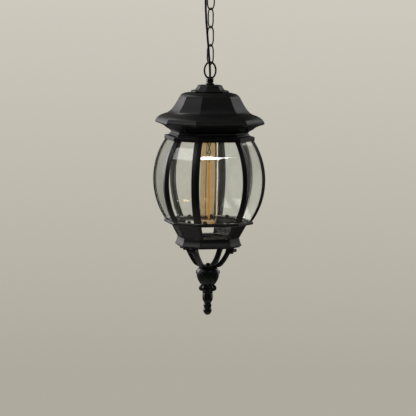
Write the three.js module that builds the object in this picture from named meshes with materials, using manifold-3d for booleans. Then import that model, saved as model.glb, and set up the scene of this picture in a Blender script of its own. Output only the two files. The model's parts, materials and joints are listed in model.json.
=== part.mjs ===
// Hanging lantern: eight bowed glass panels in a barred cage under a stepped roof, with a pierced basket and a
// finial below, hung from a ceiling rose on four chain links with its flex beside them.
// Millimetres, +Z up. The origin is the middle of the ceiling bracket's top face, and everything hangs below it.
import * as THREE from 'three';
import { mergeVertices } from 'three/addons/utils/BufferGeometryUtils.js';
import Module from 'manifold-3d';

const wasm = await Module();
wasm.setup();

// ---- Driving dimensions --------------------------------------------------------------------------------
const DEGREE = Math.PI / 180;
const GAP = 0.3; // between pieces that touch
const LANTERN_HEIGHT = 470; // finial tip to the top of the lantern's loop
const WIDE_HALF_ANGLE = 27.4 * DEGREE; // half of what a wide facet spans round the axis
const FACING = -13.6 * DEGREE; // how the lantern's loop is turned from +X

// Ceiling rose
const CANOPY = { radius: 55, height: 30, wall: 1.5, rim: 4, crown: 15 };
const BRACKET = { length: 86, width: 20, thick: 2.5, slot: 5, screws: 32 };

// Chain and loops
const LINK = { wire: 2.6, width: 18, straight: 15, pitch: 33.4, turns: [23, -68, 34, -59] };
const LOOP = { rod: 3.5, width: 24.2, height: 33, bossRadius: 6.4, footRadius: 8.3, foot: 3.3, reach: 43.4 };
const CANOPY_LOOP_TURN = -67 * DEGREE;
const NIPPLE = { radius: 4.5, bore: 2.9, reach: 9 }; // it reaches this far into a loop's boss

// Flex
const FLEX = { diameter: 4, sides: 8, bore: 2.5 };

// Bowed cage: the corners follow an arc of this radius about its middle height
const BOW = { radius: 131.5, middle: 252.8, widest: 105.5, bottom: 178, top: 328.9 };
const BAR = { width: 15, thick: 1.7, fall: 2.6 };
const PANE = { thick: 3, behind: 2.3, inset: 2.2 };

// Lamp
const LAMP = { radius: 16, tip: 166, top: 363, cap: 13.2, capTop: 388.5, wall: 1 };

// Spider and finial
const ARM = { width: 11 };
const HUB = { radius: 17, bottom: 88.4, top: 93 };
const FOOT = { radius: 50, screw: 2, bottom: 119, top: 125.2 };

// ---- Where things are ----------------------------------------------------------------------------------
const hookGap = LOOP.rod / 2 + LINK.wire / 2 + 2 * GAP; // between the rods of a loop and a link, which cross aslant
const linkGap = LINK.wire + GAP; // between the rods of two links
const linkHeight = LINK.pitch + linkGap; // between one link's own two rod centres
const canopyLoopEnd = -CANOPY.height - LOOP.reach;
const topLinkRod = canopyLoopEnd + LOOP.rod / 2 + hookGap;
const lowLinkRod = topLinkRod - LINK.pitch * (LINK.turns.length - 1) - linkHeight;
const DROP = LANTERN_HEIGHT - (lowLinkRod + hookGap + LOOP.rod / 2); // ceiling to the finial's tip

const corners = [0, 1, 2, 3].flatMap((k) => [
  k * 90 * DEGREE - WIDE_HALF_ANGLE,
  k * 90 * DEGREE + WIDE_HALF_ANGLE,
]);
const narrowCentres = [45, 135, 225, 315].map((a) => a * DEGREE);
const narrowHalfAngle = 45 * DEGREE - WIDE_HALF_ANGLE;

// ---- Materials -----------------------------------------------------------------------------------------
function finish(color, roughness, metalness, opacity = 1) {
  return () => new THREE.MeshStandardMaterial({
    color, roughness, metalness, opacity, transparent: opacity < 1,
  });
}
const blackPaint = finish(0x17181a, 0.45, 0.3);
const blackSteel = finish(0x101113, 0.4, 0.6);
const blackFlex = finish(0x0c0c0d, 0.6, 0);
const zincSteel = finish(0x8d8f8c, 0.35, 1);
const clearGlass = finish(0xdfe8e2, 0.05, 0, 0.3);
const amberGlass = finish(0xd98b3a, 0.05, 0, 0.4);
const capMetal = finish(0xb9a77a, 0.3, 1);
const glowing = finish(0xe07a1c, 0.5, 0);
const holderPlastic = finish(0x1b1a19, 0.5, 0);
const blockPlastic = finish(0xe6e2d6, 0.6, 0);

// ---- Solid helpers -------------------------------------------------------------------------------------
const root = new THREE.Group();
const lantern = new THREE.Group();
lantern.position.z = -DROP;
root.add(lantern);

// The geometry as one closed indexed mesh with its faces pointing out.
function closed(geometry) {
  const bare = geometry.clone();
  bare.deleteAttribute('normal');
  bare.deleteAttribute('uv');
  const welded = mergeVertices(bare, 1e-4);
  const at = welded.attributes.position;
  const corner = [new THREE.Vector3(), new THREE.Vector3(), new THREE.Vector3()];
  const kept = [];
  let volume = 0;
  for (let i = 0; i < welded.index.count; i += 3) {
    const [a, b, c] = [0, 1, 2].map((k) => welded.index.getX(i + k));
    if (a !== b && b !== c && c !== a) {
      kept.push(a, b, c);
      [a, b, c].forEach((v, k) => corner[k].fromBufferAttribute(at, v));
      volume += corner[0].dot(corner[1].cross(corner[2]));
    }
  }
  welded.setIndex(volume < 0 ? kept.reverse() : kept);
  return welded;
}

function toManifold(geometry) {
  const mesh = closed(geometry);
  return new wasm.Manifold(new wasm.Mesh({
    numProp: 3,
    vertProperties: new Float32Array(mesh.attributes.position.array),
    triVerts: new Uint32Array(mesh.index.array),
  }));
}

function fromManifold(solid) {
  const mesh = solid.getMesh();
  const geometry = new THREE.BufferGeometry();
  geometry.setAttribute('position', new THREE.BufferAttribute(mesh.vertProperties, 3));
  geometry.setIndex(new THREE.BufferAttribute(mesh.triVerts, 1));
  return geometry;
}

function join(first, ...others) {
  return fromManifold(others.reduce((solid, other) => solid.add(toManifold(other)), toManifold(first)));
}

function cut(first, ...others) {
  return fromManifold(others.reduce((solid, other) => solid.subtract(toManifold(other)), toManifold(first)));
}

function reshape(geometry, place) {
  const at = geometry.attributes.position;
  const point = new THREE.Vector3();
  for (let i = 0; i < at.count; i += 1) {
    point.fromBufferAttribute(at, i);
    place(point, i);
    at.setXYZ(i, point.x, point.y, point.z);
  }
  return geometry;
}

function add(name, geometry, material, group = lantern) {
  const mesh = new THREE.Mesh(closed(geometry), material());
  mesh.name = name;
  group.add(mesh);
  return mesh;
}

// A turned solid from [radius, height] points that start and end on the axis or close on themselves.
function turned(outline, sides = 20) {
  const points = outline.map(([r, z]) => new THREE.Vector2(r, z));
  return new THREE.LatheGeometry(points, sides).rotateX(Math.PI / 2);
}

function closedTurned(outline, sides = 20) {
  return turned([...outline, outline[0]], sides);
}

// The same with eight facets, four wide and four narrow: a lathe of eight steps whose corners are moved round.
function faceted(outline) {
  const points = outline.map(([r, z]) => new THREE.Vector2(r, z));
  return reshape(new THREE.LatheGeometry(points, 8), (point, i) => {
    const angle = corners[Math.floor(i / points.length) % 8];
    const { x: r, y: z } = points[i % points.length];
    point.set(r * Math.cos(angle), r * Math.sin(angle), z);
  });
}

function closedFaceted(outline) {
  return faceted([...outline, outline[0]]);
}

function rod(radius, low, high, sides = 16) {
  return new THREE.CylinderGeometry(radius, radius, high - low, sides)
    .rotateX(Math.PI / 2)
    .translate(0, 0, (low + high) / 2);
}

function block(x, y, z, centre = [0, 0, 0]) {
  return new THREE.BoxGeometry(x, y, z).translate(...centre);
}

// An upright oval ring of round rod in the XZ plane about the origin; width and height are to its outside, and
// its ends are half ellipses with a straight stretch of side between them.
function oval(width, height, rodSize, straight = 0, steps = 24, sides = 8) {
  const middle = 10;
  const a = (width - rodSize) / 2;
  const b = (height - rodSize - straight) / 2;
  return reshape(new THREE.TorusGeometry(middle, rodSize / 2, sides, steps), (point) => {
    const turn = Math.atan2(point.y, point.x);
    const out = Math.hypot(point.x, point.y) - middle;
    const across = point.z;
    const long = Math.hypot(b * Math.cos(turn), a * Math.sin(turn));
    const x = (a + (out * b) / long) * Math.cos(turn);
    const z = (b + (out * a) / long) * Math.sin(turn);
    const side = Math.abs(Math.sin(turn)) < 1e-6 ? 0 : Math.sign(Math.sin(turn));
    point.set(x, across, z + (side * straight) / 2);
  });
}

// A polygon in the XZ plane given as [radius, height] points, made `width` thick about y = 0.
function plate(points, width) {
  const shape = new THREE.Shape(points.map(([r, z]) => new THREE.Vector2(r, z)));
  return new THREE.ExtrudeGeometry(shape, { depth: width, bevelEnabled: false })
    .rotateX(Math.PI / 2)
    .translate(0, width / 2, 0);
}

function curvePoints(path, divisions) {
  return path.getPoints(divisions).map((p) => [p.x, p.y]);
}

// ---- Ceiling rose --------------------------------------------------------------------------------------
function ceilingBracket() {
  const { length, width, thick, slot, screws } = BRACKET;
  const bar = block(length, width, thick, [0, 0, -thick / 2]);
  const slots = [-1, 1].map((side) => block(14, slot, 3 * thick, [side * 19, 0, 0]));
  const holes = [-1, 1].map((side) => rod(2.3, -9, 3, 12).translate(side * screws, 0, 0));
  return cut(bar, ...slots, ...holes);
}

function canopyShell() {
  const { radius, height, wall, rim, crown } = CANOPY;
  const outer = new THREE.Path()
    .moveTo(radius, -GAP)
    .lineTo(radius, -rim)
    .bezierCurveTo(radius - 2, -height * 0.55, crown + 14, -height * 0.55, crown, -height);
  const inner = new THREE.Path()
    .moveTo(crown - wall, -height + wall)
    .bezierCurveTo(crown + 12, -height * 0.52, radius - 4, -height * 0.5, radius - wall, -rim)
    .lineTo(radius - wall, -GAP);
  const hole = NIPPLE.radius + GAP;
  const shell = closedTurned([
    ...curvePoints(outer, 6), [hole, -height], [hole, -height + wall], ...curvePoints(inner, 5),
  ], 28);
  const holes = [-1, 1].map((side) => rod(2.3, -40, 0, 12).translate(side * BRACKET.screws, 0, 0));
  return cut(shell, ...holes);
}

function canopyScrew(side) {
  // its shank is held in the bracket, and its round head is below the shell
  const screw = turned([
    [0, -1], [2, -1], [2, -24.2], [3.6, -24.2], [4.6, -26], [4.6, -28.5], [3, -31], [0, -31.8],
  ], 16);
  return screw.translate(side * BRACKET.screws, 0, 0);
}

// A loop made pointing up from height 0: a round foot, a six-sided boss that the nipple screws into, and the ring.
function loopCasting() {
  const { rod: rodSize, width, height, bossRadius, footRadius, foot, reach } = LOOP;
  const ring = oval(width, height, rodSize, 0, 24, 8).translate(0, 0, reach - height / 2);
  const seat = turned([
    [0, GAP], [footRadius, GAP], [footRadius, foot - 0.8], [footRadius - 0.8, foot], [0, foot],
  ], 18);
  const boss = new THREE.CylinderGeometry(bossRadius, bossRadius, 11, 6)
    .rotateX(Math.PI / 2)
    .translate(0, 0, foot + 5.2);
  const thread = rod(NIPPLE.radius + GAP, -1, NIPPLE.reach + GAP);
  const wire = rod(FLEX.bore, 0, foot + 14);
  return cut(join(ring, seat, boss), thread, wire);
}

function nipple(low, high) {
  return closedTurned([
    [NIPPLE.bore, low], [NIPPLE.radius, low], [NIPPLE.radius, high], [NIPPLE.bore, high],
  ], 14);
}

function lockNut(height) {
  const nut = new THREE.CylinderGeometry(8.2, 8.2, height, 6).rotateX(Math.PI / 2);
  return cut(nut, rod(NIPPLE.radius + GAP, -height, height));
}

function terminalBlock() {
  const body = block(20, 14, 11);
  const tunnels = [-5, 5].map((x) => rod(1.6, -12, 12, 10).rotateX(Math.PI / 2).translate(x, 0, -1));
  const wells = [-5, 5].map((x) => rod(2.2, 2, 9, 10).translate(x, 0, 0));
  return cut(body, ...tunnels, ...wells);
}

add('ceiling_bracket', ceilingBracket(), blackSteel, root);
add('canopy_shell', canopyShell(), blackPaint, root);
add('canopy_screw_left', canopyScrew(-1), blackSteel, root);
add('canopy_screw_right', canopyScrew(1), blackSteel, root);
const canopyLoop = loopCasting().rotateX(Math.PI).rotateZ(CANOPY_LOOP_TURN).translate(0, 0, -CANOPY.height);
add('canopy_loop', canopyLoop, blackSteel, root);
add('canopy_nipple', nipple(-CANOPY.height - NIPPLE.reach, -16), zincSteel, root);
add('canopy_lock_nut', lockNut(4).translate(0, 0, -CANOPY.height + CANOPY.wall + GAP + 2), zincSteel, root);
add('terminal_block', terminalBlock().translate(0, 24, -9.5), blockPlastic, root);

// ---- Chain ---------------------------------------------------------------------------------------------
LINK.turns.forEach((turn, k) => {
  const link = oval(LINK.width, linkHeight + LINK.wire, LINK.wire, LINK.straight)
    .rotateZ(turn * DEGREE)
    .translate(0, 0, topLinkRod - k * LINK.pitch - linkHeight / 2);
  add(`chain_link_${k + 1}`, link, blackSteel, root);
});

// ---- Flex ----------------------------------------------------------------------------------------------
// Five lengths end to end, each crossing one pivot of the chain. The route hangs beside the links.
const flexRoutes = [
  [[0, 16.6, -10.5], [0, 13.5, -10.2], [0, 7.5, -9.4], [0, 1.8, -12.2], [0, 0, -18], [0, 0, -26], [0, 0, -36],
    [0, 0, -44], [-2.2, -1, -53], [-5.8, -3, -62], [-9.5, -4.6, -70], [-10.7, -5, -77], [-11, -5, -86.5]],
  [[-11, -5, -86.8], [-10.9, -5.1, -95], [-10.8, -5.5, -103], [-10.4, -6.1, -111], [-10.1, -6.6, -119.9]],
  [[-10.1, -6.6, -120.2], [-9.7, -7.2, -128], [-9, -7.8, -136.5], [-8.3, -8.3, -145], [-7.6, -8.4, -153.3]],
  [[-7.6, -8.4, -153.6], [-6.7, -8, -162], [-5.7, -7.1, -170], [-4.7, -6.1, -178], [-3.8, -5.3, -186.7]],
  [[-3.8, -5.3, -187], [-3, -4.9, -194], [-2.3, -4.6, -201.5], [-1.2, -2.9, -210], [-0.4, -1, -218],
    [0, 0, -226], [0, 0, -236], [0, 0, -248], [0, 0, -260], [0, 0, -271]],
];
flexRoutes.forEach((route, k) => {
  const path = new THREE.CatmullRomCurve3(route.map((p) => new THREE.Vector3(...p)));
  const section = new THREE.Shape(Array.from({ length: FLEX.sides }, (_, i) => new THREE.Vector2(
    (FLEX.diameter / 2) * Math.cos((i * 2 * Math.PI) / FLEX.sides),
    (FLEX.diameter / 2) * Math.sin((i * 2 * Math.PI) / FLEX.sides),
  )));
  const steps = Math.round(path.getLength() / 5);
  const tube = new THREE.ExtrudeGeometry(section, { steps, extrudePath: path, bevelEnabled: false });
  add(`flex_${k + 1}`, tube, blackFlex, root);
});

// ---- Lantern's loop and roof ---------------------------------------------------------------------------
const capTop = LANTERN_HEIGHT - LOOP.reach;
add('lantern_loop', loopCasting().rotateZ(FACING).translate(0, 0, capTop), blackSteel);

// Eight-sided holes are a little wider than the round nipple
const nippleHole = (NIPPLE.radius + GAP) / Math.cos(WIDE_HALF_ANGLE);
function roofCap() {
  const flange = { radius: 36, low: 413.6, high: 417 };
  const top = { radius: 23.2, low: 425 };
  return closedFaceted([
    [nippleHole, flange.low], [flange.radius, flange.low], [flange.radius, flange.high], [29.2, flange.high],
    [top.radius, top.low], [top.radius, capTop], [nippleHole, capTop],
  ]);
}

// Where the roof's underside holds a screw, as [corner radius, height], and which way the screw's head faces
const soffitScrew = { radius: 80.6, height: 348, tilt: 32 * DEGREE };

function roofShell() {
  const outside = new THREE.Path()
    .moveTo(36, 413.3)
    .quadraticCurveTo(52.5, 413, 57, 405.2)
    .bezierCurveTo(64, 393, 69.5, 381, 80.8, 374.4);
  const brim = new THREE.Path()
    .moveTo(80.8, 374.4)
    .quadraticCurveTo(100.5, 369.5, 103.8, 359.2)
    .lineTo(103.6, 357.3)
    .lineTo(100, 355.5)
    .quadraticCurveTo(88, 352.5, 82.3, 346.5)
    .quadraticCurveTo(75.5, 343.5, 73.5, 341)
    .lineTo(73.5, 337.3);
  const inside = new THREE.Path()
    .moveTo(70.5, 337.3)
    .lineTo(70.5, 344)
    .quadraticCurveTo(79, 349, 84, 354)
    .lineTo(99, 359.5)
    .quadraticCurveTo(96, 366, 79, 371.5)
    .bezierCurveTo(66.5, 379, 60.5, 392, 53.5, 404)
    .quadraticCurveTo(50, 410, 36, 410.3);
  const shell = closedFaceted([
    [nippleHole, 413.3], ...curvePoints(outside, 5), ...curvePoints(brim, 5).slice(1),
    ...curvePoints(inside, 3), [nippleHole, 410.3],
  ]);
  const holes = narrowCentres.map((angle) => soffitHole(angle));
  return cut(shell, ...holes);
}

function alongSoffit(geometry, angle) {
  return geometry
    .rotateY(-soffitScrew.tilt)
    .translate(soffitScrew.radius, 0, soffitScrew.height)
    .rotateZ(angle);
}

function soffitHole(angle) {
  return alongSoffit(rod(1.9, -9, 9, 10), angle);
}

function roofScrew(angle) {
  // a pan head below the soffit, its shank inside
  const screw = turned([
    [0, 6], [1.5, 6], [1.5, -1.3], [3.6, -1.3], [3.6, -2.4], [2.4, -3.6], [0, -3.9],
  ], 12);
  return alongSoffit(screw, angle);
}

add('roof_cap', roofCap(), blackPaint);
add('roof_shell', roofShell(), blackPaint);
narrowCentres.forEach((angle, k) => add(`roof_screw_${k + 1}`, roofScrew(angle), blackSteel));

// ---- Lamp ----------------------------------------------------------------------------------------------
function lampHolder() {
  const hole = NIPPLE.radius + GAP;
  return closedTurned([
    [hole, 393], [hole, 402], [11, 402], [13, 398], [19.5, 394], [21, 388], [21, 360], [18, 360], [16.4, 361.5],
    [15, 364], [15, 392.6],
  ]);
}

function bulbCap() {
  const { cap, capTop: top } = LAMP;
  return closedTurned([
    [12.4, 361], [13.4, 361], [cap, 364.5], [cap, top - 5], [cap - 3, top - 1], [5, top], [3.8, top],
    [3.8, top - 1], [5, top - 1], [11, top - 3.5], [12.4, top - 6],
  ]);
}

function bulbGlass() {
  const { radius, tip, top, wall } = LAMP;
  const neck = 11.9;
  const shoulder = top - 22;
  const outside = new THREE.Path()
    .moveTo(neck, top + 8)
    .lineTo(neck, top)
    .bezierCurveTo(neck, top - 9, radius, shoulder + 9, radius, shoulder)
    .lineTo(radius, tip + radius)
    .absarc(0, tip + radius, radius, 0, -Math.PI / 2, true);
  const inner = radius - wall;
  const inside = new THREE.Path()
    .absarc(0, tip + radius, inner, -Math.PI / 2, 0, false)
    .lineTo(inner, shoulder)
    .bezierCurveTo(inner, shoulder + 9, neck - wall, top - 9, neck - wall, top)
    .lineTo(neck - wall, top + 8);
  return closedTurned([...curvePoints(outside, 5), ...curvePoints(inside, 4)]);
}

function bulbStem() {
  // the flared mount, two crossed support wires, the bar that they end on, and the lead to the filament
  const flare = turned([
    [0, 362], [9.6, 362], [9.6, 361], [5, 352], [3.4, 340], [3.4, 320], [2.8, 318], [0, 318],
  ], 16);
  const wires = [-1, 1].map((side) => rod(0.5, -11, 11, 6)
    .rotateY(side * 13 * DEGREE)
    .translate(0, side * 0.3, 310));
  const bar = block(6.4, 1.4, 1.4, [0, 0, 300]);
  return join(flare, ...wires, bar, rod(0.5, 284.2, 300, 6));
}

add('lamp_nipple', nipple(393, capTop + NIPPLE.reach), zincSteel);
add('lamp_holder', lampHolder(), holderPlastic);
add('bulb_contact', turned([[0, 386.5], [3.4, 386.5], [3.4, 388.7], [2.2, 390.4], [0, 390.8]], 16), zincSteel);
add('bulb_cap', bulbCap(), capMetal);
add('bulb_glass', bulbGlass(), amberGlass);
add('bulb_stem', bulbStem(), zincSteel);
add('bulb_filament', rod(1.8, 180, 283.8, 12), glowing);

// ---- Cage ----------------------------------------------------------------------------------------------
function bowRadius(z) {
  return BOW.widest - BOW.radius + Math.sqrt(BOW.radius ** 2 - (z - BOW.middle) ** 2);
}

function bowHeight(share) {
  return BOW.bottom + GAP + (share + 0.5) * (BOW.top - BOW.bottom - 2 * GAP);
}

function cageBar() {
  return reshape(new THREE.BoxGeometry(1, 1, 1, 2, 1, 12), (point) => {
    const z = bowHeight(point.z);
    const out = bowRadius(z) - Math.abs(2 * point.x) * BAR.fall + (point.y - 0.5) * BAR.thick;
    point.set(out, point.x * BAR.width, z);
  });
}

function glassPanel(halfAngle) {
  return reshape(new THREE.BoxGeometry(1, 1, 1, 1, 1, 14), (point) => {
    const z = bowHeight(point.z);
    const corner = bowRadius(z) - PANE.behind;
    const out = corner * Math.cos(halfAngle) + (point.y - 0.5) * PANE.thick;
    const half = (corner - PANE.thick) * Math.sin(halfAngle) - PANE.inset;
    point.set(out, 2 * point.x * half, z);
  });
}

corners.forEach((angle, k) => add(`cage_bar_${k + 1}`, cageBar().rotateZ(angle), blackPaint));
[0, 1, 2, 3].forEach((k) => {
  add(`glass_wide_${k + 1}`, glassPanel(WIDE_HALF_ANGLE).rotateZ(k * 90 * DEGREE), clearGlass);
  add(`glass_narrow_${k + 1}`, glassPanel(narrowHalfAngle).rotateZ((k * 90 + 45) * DEGREE), clearGlass);
});

const topRing = closedFaceted([[68, 337], [68, 329.4], [84.6, 329.4], [85.7, 330.6], [85.7, 335.8], [84.6, 337]]);
add('cage_top_ring', topRing, blackPaint);
const bottomRing = closedFaceted([
  [64, 178], [64, 166.9], [70.3, 166.9], [83.8, 171.4], [85, 173.2], [84.4, 176.6], [82.6, 178],
]);
add('cage_bottom_ring', bottomRing, blackPaint);

// ---- Basket, skirt and spider --------------------------------------------------------------------------
// What is cut out of a wide facet: as wide as the facet is at each height, less a post at either side
function basketWindow(top, floor) {
  const post = 4;
  const rail = 1.8;
  return reshape(block(60, 1, 1, [60, 0, 0]), (point) => {
    const share = point.z + 0.5;
    const corner = floor.radius + share * (top.radius - floor.radius);
    const z = floor.height + rail + share * (top.height - floor.height - 2 * rail);
    point.set(point.x, 2 * point.y * (corner * Math.sin(WIDE_HALF_ANGLE) - post), z);
  });
}

function basket() {
  const wall = 2.6;
  const top = { radius: 70.3, height: 166.6 };
  const floor = { radius: 59, height: 146.2 };
  const shell = closedFaceted([
    [top.radius, top.height], [floor.radius, floor.height], [floor.radius - wall, floor.height],
    [top.radius - wall, top.height],
  ]);
  const windows = [0, 1, 2, 3].map((k) => basketWindow(top, floor).rotateZ(k * 90 * DEGREE));
  return cut(shell, ...windows);
}

function screwHoles(radius) {
  return narrowCentres.map((angle) => rod(radius, 110, 136, 12).translate(FOOT.radius, 0, 0).rotateZ(angle));
}

function skirt() {
  return closedFaceted([
    [12, 145.9], [59, 145.9], [63.6, 132.4], [58.7, 127.3], [55.7, 127.3], [60.1, 132.6], [56.4, 143], [12, 143],
  ]);
}

function basePlate() {
  const plateSolid = closedFaceted([[20, 127], [58.4, 127], [57.6, 125.5], [20, 125.5]]);
  return cut(plateSolid, ...screwHoles(FOOT.screw + GAP));
}

function spider() {
  const { bottom, top } = FOOT;
  const outline = new THREE.Path()
    .moveTo(57, top)
    .lineTo(57.5, bottom + 1)
    .lineTo(46.5, bottom)
    .bezierCurveTo(41, 113, 33.5, 101, 27, 93.6)
    .quadraticCurveTo(23, 90.4, 14, 88.6)
    .lineTo(10, 88.6)
    .lineTo(10, 92.8)
    .quadraticCurveTo(19, 94.8, 22.5, 98.5)
    .bezierCurveTo(28, 105, 35, 115.5, 39, 121.5)
    .lineTo(41, top);
  const arms = narrowCentres.map((angle) => plate(curvePoints(outline, 4), ARM.width).rotateZ(angle));
  const hub = closedTurned([
    [2.3, HUB.top], [HUB.radius - 3, HUB.top], [HUB.radius, HUB.top - 2], [HUB.radius, HUB.bottom],
    [2.3, HUB.bottom],
  ]);
  return cut(join(hub, ...arms), ...screwHoles(FOOT.screw + GAP));
}

function footScrew(angle) {
  const shank = rod(FOOT.screw, 116, 131.5, 12);
  const head = new THREE.CylinderGeometry(4.4, 4.4, 3.2, 6).rotateX(Math.PI / 2).translate(0, 0, 117);
  return join(shank, head).translate(FOOT.radius, 0, 0).rotateZ(angle);
}

add('basket', basket(), blackPaint);
add('skirt', skirt(), blackPaint);
add('base_plate', basePlate(), blackPaint);
add('spider', spider(), blackPaint);
narrowCentres.forEach((angle, k) => add(`foot_screw_${k + 1}`, footScrew(angle), blackSteel));

// ---- Finial --------------------------------------------------------------------------------------------
function finialUrn() {
  const bowl = new THREE.Path()
    .moveTo(19, 88.1)
    .bezierCurveTo(22, 81, 21, 70, 17.1, 64.1)
    .quadraticCurveTo(15, 61, 13.3, 57.6)
    .quadraticCurveTo(16.2, 54.5, 16.4, 50.8)
    .quadraticCurveTo(16.2, 47, 13.8, 45)
    .lineTo(9.5, 43.9);
  return turned([[0, 62], [2.3, 62], [2.3, 88.1], ...curvePoints(bowl, 4), [0, 43.9]]);
}

function finialDrop() {
  const drop = new THREE.Path()
    .moveTo(9.2, 43.6)
    .quadraticCurveTo(8.2, 41.5, 9.2, 38)
    .quadraticCurveTo(9.8, 30, 6.4, 23.2)
    .quadraticCurveTo(8.8, 18, 6.6, 13.5)
    .quadraticCurveTo(9.5, 6, 4.9, 2.6)
    .quadraticCurveTo(3, 0.4, 0, 0);
  return turned([[0, 43.6], ...curvePoints(drop, 4)], 18);
}

add('hub_screw', turned([[0, 64], [2, 64], [2, 95.2], [3.4, 95.2], [3.4, 96.4], [2.6, 97], [0, 97]], 14), blackSteel);
add('finial_urn', finialUrn(), blackPaint);
add('finial_drop', finialDrop(), blackPaint);

export default root;
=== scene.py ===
# %% [markdown]
# # A hanging lantern of black metal and bowed glass
# The lantern is an eight-sided cage: bars and glass that swell outwards, a stepped roof above, and a
# pierced basket, four arms and a turned finial below. It hangs on a chain from a ceiling rose. The packed
# model gives every piece's place and how it moves. This lesson gives each piece its fine surface. We work
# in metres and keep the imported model's frame, so nothing has to be fitted afterwards.

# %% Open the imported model
import json
import math

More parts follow.
